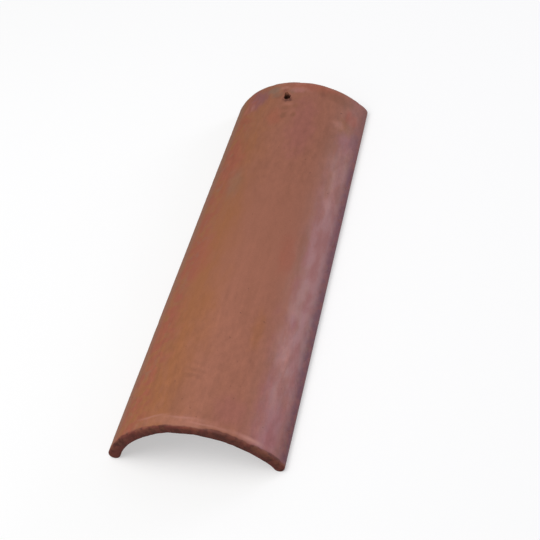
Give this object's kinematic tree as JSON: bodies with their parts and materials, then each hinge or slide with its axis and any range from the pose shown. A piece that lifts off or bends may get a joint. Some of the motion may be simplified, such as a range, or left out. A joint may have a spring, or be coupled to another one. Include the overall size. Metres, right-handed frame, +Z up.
{
  "type": "clay roof tile",
  "caption": "Tapered half-barrel roof tile of fired clay with a nail hole at its narrow head, laid in overlapping rows over or between its neighbours to shed rain.",
  "frame": {"origin": "on the ground under the tile, midway between its two long edges and midway along its length", "axes": "+X across the tile, +Y along it from the wide butt to the narrow head with the nail hole, +Z up through the crown"},
  "size_m": [0.1678, 0.45, 0.0589],
  "materials": {
    "fired_clay": "matte, faintly glossy where the wet clay was wiped smooth"
  },
  "bodies": {
    "root": {"barrel_tile": "fired_clay"}
  },
  "joints": []
}
